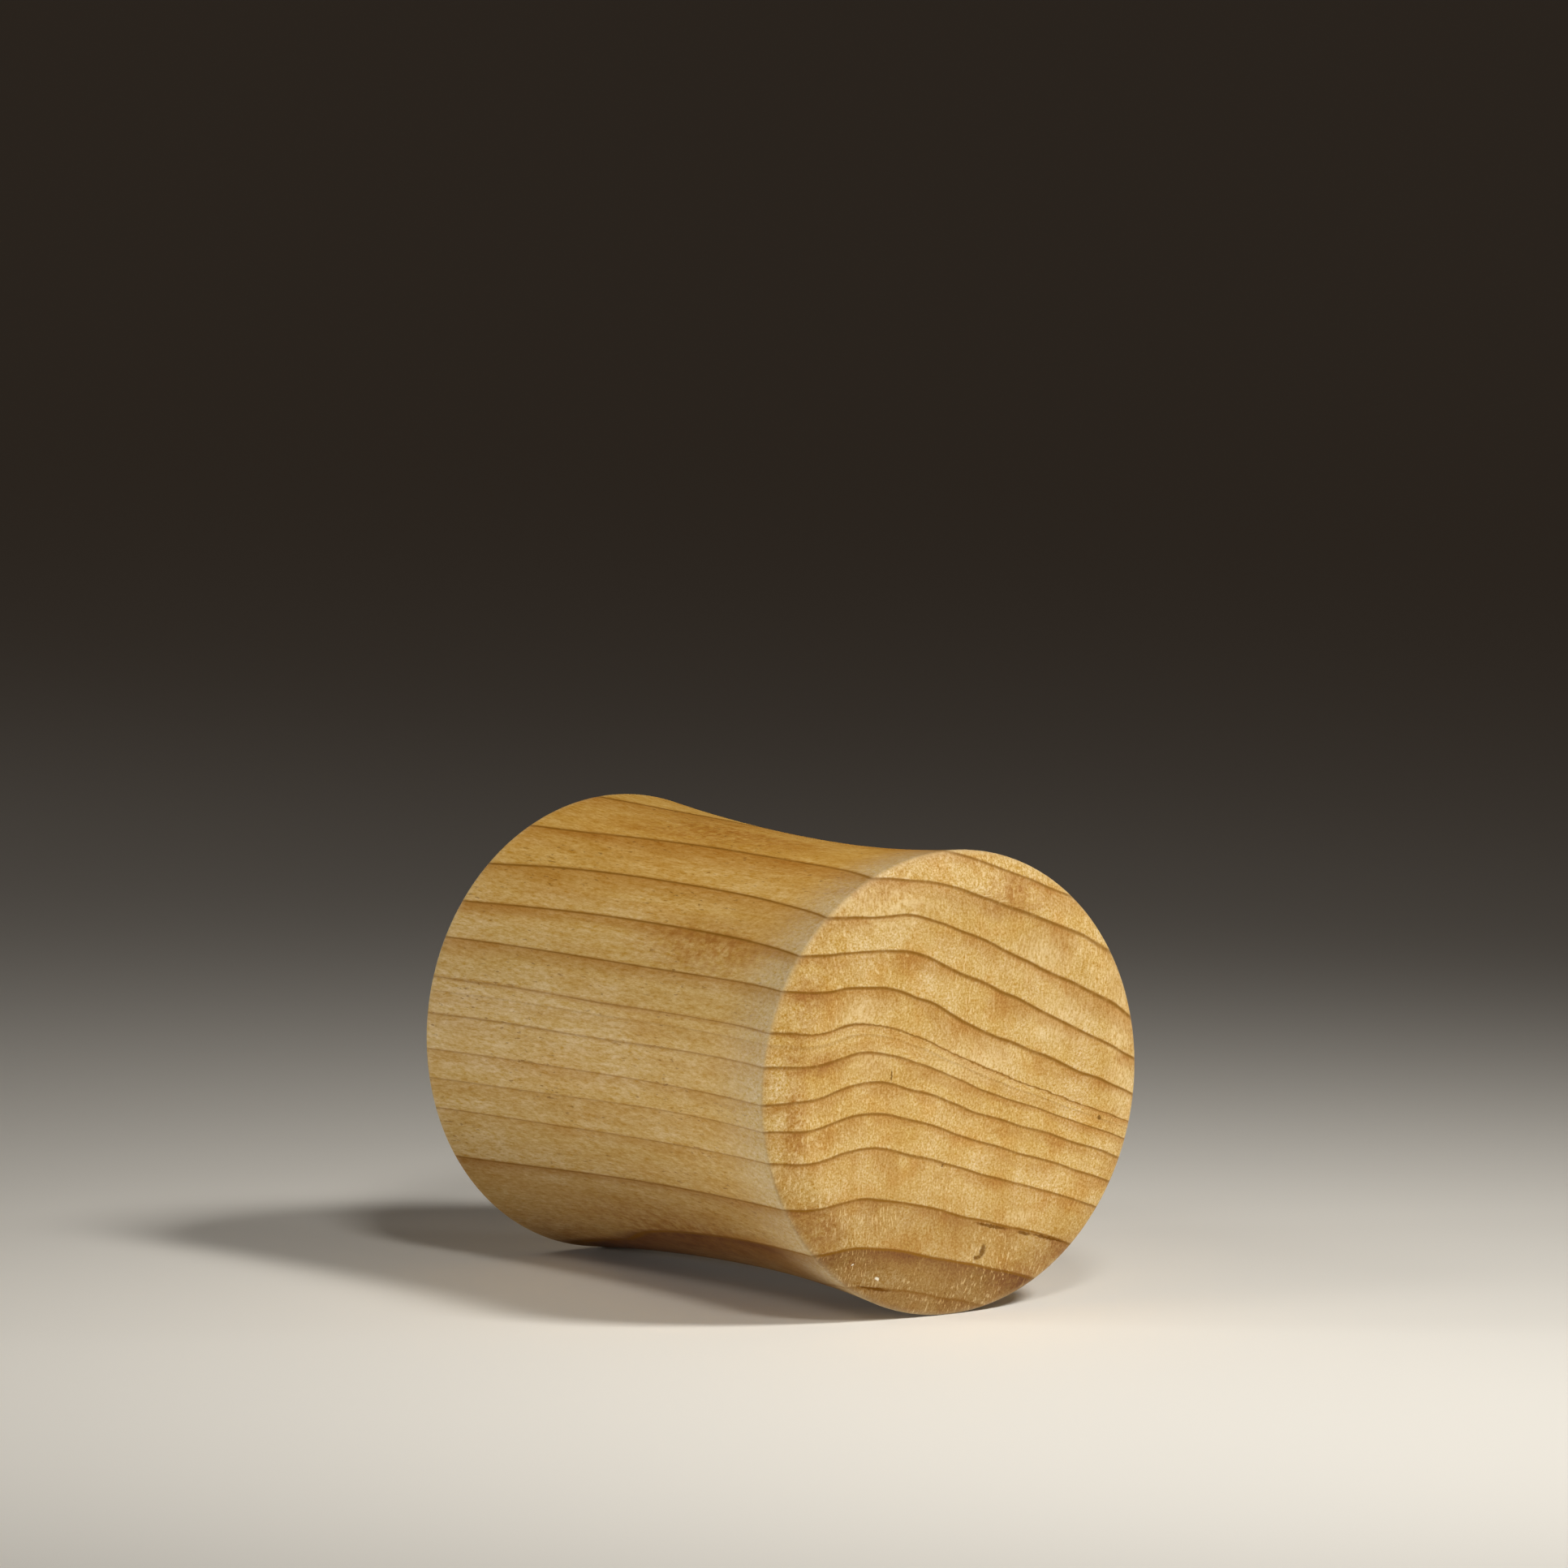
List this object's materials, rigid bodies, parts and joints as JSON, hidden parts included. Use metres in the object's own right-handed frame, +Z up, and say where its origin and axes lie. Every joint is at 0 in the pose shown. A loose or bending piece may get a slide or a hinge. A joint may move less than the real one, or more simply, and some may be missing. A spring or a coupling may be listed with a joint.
{
  "type": "hand shaker",
  "caption": "Waisted turned wooden hand shaker with rounded-over end faces, a glued end plug and loose steel shot in a sealed chamber.",
  "frame": {"origin": "middle of the turning axis, half way between the two end faces", "axes": "+Y along the turning axis towards the plugged rear end, +Z up with the shaker lying on its side, +X to the right seen from the front end"},
  "size_m": [0.05, 0.0642, 0.05],
  "materials": {
    "body_wood": "hand-sanded light hardwood with a thin oil finish, satin",
    "plug_wood": "the same hardwood, end grain outwards, satin",
    "shot_steel": "plain polished steel balls"
  },
  "bodies": {
    "shell": {"turned_body": "body_wood", "end_plug": "plug_wood"},
    "shot_1": {"shot_row_1": "shot_steel"},
    "shot_2": {"shot_row_2": "shot_steel"},
    "shot_3": {"shot_row_3": "shot_steel"},
    "shot_4": {"shot_row_4": "shot_steel"},
    "shot_5": {"shot_row_5": "shot_steel"},
    "shot_6": {"shot_row_6": "shot_steel"},
    "shot_7": {"shot_row_7": "shot_steel"}
  },
  "joints": [
    {"name": "shot_swing", "type": "hinge", "parent": "shell", "child": "shot_4", "pos_m": [0, 0, 0], "axis": [0, 1, 0], "continuous": true},
    {"name": "shot_1_slide", "type": "slide", "parent": "shot_4", "child": "shot_1", "axis": [0, 1, 0], "range_m": [-0.0113, 0.0093]},
    {"name": "shot_2_slide", "type": "slide", "parent": "shot_4", "child": "shot_2", "axis": [0, 1, 0], "range_m": [-0.0093, 0.0113]},
    {"name": "shot_3_slide", "type": "slide", "parent": "shot_4", "child": "shot_3", "axis": [0, 1, 0], "range_m": [-0.0113, 0.0093]},
    {"name": "shot_5_slide", "type": "slide", "parent": "shot_4", "child": "shot_5", "axis": [0, 1, 0], "range_m": [-0.0113, 0.0093]},
    {"name": "shot_6_slide", "type": "slide", "parent": "shot_4", "child": "shot_6", "axis": [0, 1, 0], "range_m": [-0.0093, 0.0113]},
    {"name": "shot_7_slide", "type": "slide", "parent": "shot_4", "child": "shot_7", "axis": [0, 1, 0], "range_m": [-0.0113, 0.0093]}
  ]
}
